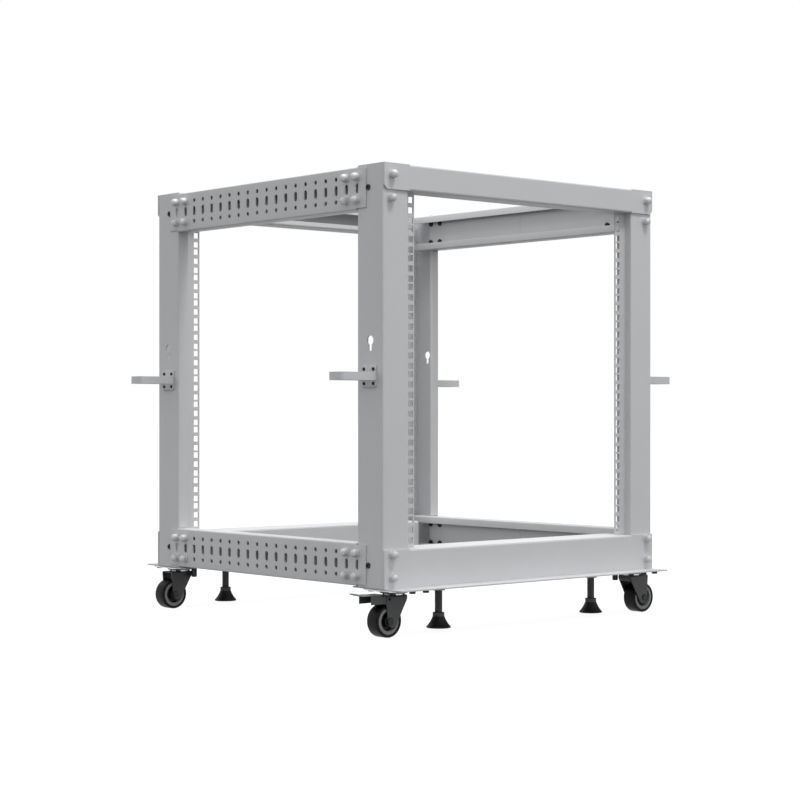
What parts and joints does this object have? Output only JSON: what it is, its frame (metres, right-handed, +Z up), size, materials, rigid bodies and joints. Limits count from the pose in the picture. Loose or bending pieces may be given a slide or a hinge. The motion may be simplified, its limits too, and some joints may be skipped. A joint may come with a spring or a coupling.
{
  "type": "four post open frame rack",
  "caption": "Low four post open frame equipment rack of folded steel with perforated side rails, cable hooks, swivel casters and levelling feet.",
  "frame": {"origin": "on the floor, under the middle of the rack", "axes": "+Z up, +X to the right as seen from the front, +Y to the rear"},
  "size_m": [0.735, 0.68, 0.716],
  "materials": {
    "powder_coat": "fine satin light grey powder coat",
    "zinc_plate": "dull zinc plate",
    "black_enamel": "smooth black enamel",
    "tyre": "smooth black rubber",
    "hub_plastic": "moulded dark grey plastic",
    "black_steel": "blackened threaded steel",
    "pad_plastic": "moulded black plastic"
  },
  "bodies": {
    "frame": {"post_front_left": "powder_coat", "post_front_right": "powder_coat", "post_rear_left": "powder_coat", "post_rear_right": "powder_coat", "top_beam_front": "powder_coat", "top_beam_rear": "powder_coat", "bottom_beam_front": "powder_coat", "bottom_beam_rear": "powder_coat", "base_plate_front": "powder_coat", "base_plate_rear": "powder_coat", "top_rail_left": "powder_coat", "top_rail_right": "powder_coat", "top_rail_liner_left": "powder_coat", "top_rail_liner_right": "powder_coat", "bottom_rail_left": "powder_coat", "bottom_rail_right": "powder_coat", "bottom_rail_liner_left": "powder_coat", "bottom_rail_liner_right": "powder_coat", "cable_hooks": "powder_coat", "caster_plates": "zinc_plate"},
    "caster_front_left": {"caster_fork_front_left": "black_enamel", "caster_axle_front_left": "black_enamel"},
    "wheel_front_left": {"wheel_tyre_front_left": "tyre", "wheel_hub_front_left": "hub_plastic"},
    "foot_front_left": {"foot_stem_front_left": "black_steel", "foot_pad_front_left": "pad_plastic"},
    "caster_front_right": {"caster_fork_front_right": "black_enamel", "caster_axle_front_right": "black_enamel"},
    "wheel_front_right": {"wheel_tyre_front_right": "tyre", "wheel_hub_front_right": "hub_plastic"},
    "foot_front_right": {"foot_stem_front_right": "black_steel", "foot_pad_front_right": "pad_plastic"},
    "caster_rear_left": {"caster_fork_rear_left": "black_enamel", "caster_axle_rear_left": "black_enamel"},
    "wheel_rear_left": {"wheel_tyre_rear_left": "tyre", "wheel_hub_rear_left": "hub_plastic"},
    "foot_rear_left": {"foot_stem_rear_left": "black_steel", "foot_pad_rear_left": "pad_plastic"},
    "caster_rear_right": {"caster_fork_rear_right": "black_enamel", "caster_axle_rear_right": "black_enamel"},
    "wheel_rear_right": {"wheel_tyre_rear_right": "tyre", "wheel_hub_rear_right": "hub_plastic"},
    "foot_rear_right": {"foot_stem_rear_right": "black_steel", "foot_pad_rear_right": "pad_plastic"},
    "brake_front_left": {"caster_brake_front_left": "black_enamel"},
    "brake_rear_right": {"caster_brake_rear_right": "black_enamel"}
  },
  "joints": [
    {"name": "swivel_front_left", "type": "hinge", "parent": "frame", "child": "caster_front_left", "pos_m": [-0.272, -0.285, 0.0655], "axis": [0, 0, 1], "continuous": true},
    {"name": "swivel_front_right", "type": "hinge", "parent": "frame", "child": "caster_front_right", "pos_m": [0.272, -0.285, 0.0655], "axis": [0, 0, 1], "continuous": true},
    {"name": "swivel_rear_left", "type": "hinge", "parent": "frame", "child": "caster_rear_left", "pos_m": [-0.272, 0.285, 0.0655], "axis": [0, 0, 1], "continuous": true},
    {"name": "swivel_rear_right", "type": "hinge", "parent": "frame", "child": "caster_rear_right", "pos_m": [0.272, 0.285, 0.0655], "axis": [0, 0, 1], "continuous": true},
    {"name": "roll_front_left", "type": "hinge", "parent": "caster_front_left", "child": "wheel_front_left", "pos_m": [-0.285, -0.285, 0.025], "axis": [0, 1, 0], "continuous": true},
    {"name": "roll_front_right", "type": "hinge", "parent": "caster_front_right", "child": "wheel_front_right", "pos_m": [0.285, -0.285, 0.025], "axis": [0, 1, 0], "continuous": true},
    {"name": "roll_rear_left", "type": "hinge", "parent": "caster_rear_left", "child": "wheel_rear_left", "pos_m": [-0.285, 0.285, 0.025], "axis": [0, 1, 0], "continuous": true},
    {"name": "roll_rear_right", "type": "hinge", "parent": "caster_rear_right", "child": "wheel_rear_right", "pos_m": [0.285, 0.285, 0.025], "axis": [0, 1, 0], "continuous": true},
    {"name": "level_front_left", "type": "slide", "parent": "frame", "child": "foot_front_left", "axis": [0, 0, 1], "range_m": [-0.025, 0.018]},
    {"name": "level_front_right", "type": "slide", "parent": "frame", "child": "foot_front_right", "axis": [0, 0, 1], "range_m": [-0.025, 0.018]},
    {"name": "level_rear_left", "type": "slide", "parent": "frame", "child": "foot_rear_left", "axis": [0, 0, 1], "range_m": [-0.025, 0.018]},
    {"name": "level_rear_right", "type": "slide", "parent": "frame", "child": "foot_rear_right", "axis": [0, 0, 1], "range_m": [-0.025, 0.018]},
    {"name": "brake_front_left", "type": "hinge", "parent": "caster_front_left", "child": "brake_front_left", "pos_m": [-0.2867, -0.285, 0.0585], "axis": [0, -1, 0], "range_deg": [0, 8]},
    {"name": "brake_rear_right", "type": "hinge", "parent": "caster_rear_right", "child": "brake_rear_right", "pos_m": [0.2867, 0.285, 0.0585], "axis": [0, 1, 0], "range_deg": [0, 8]}
  ]
}
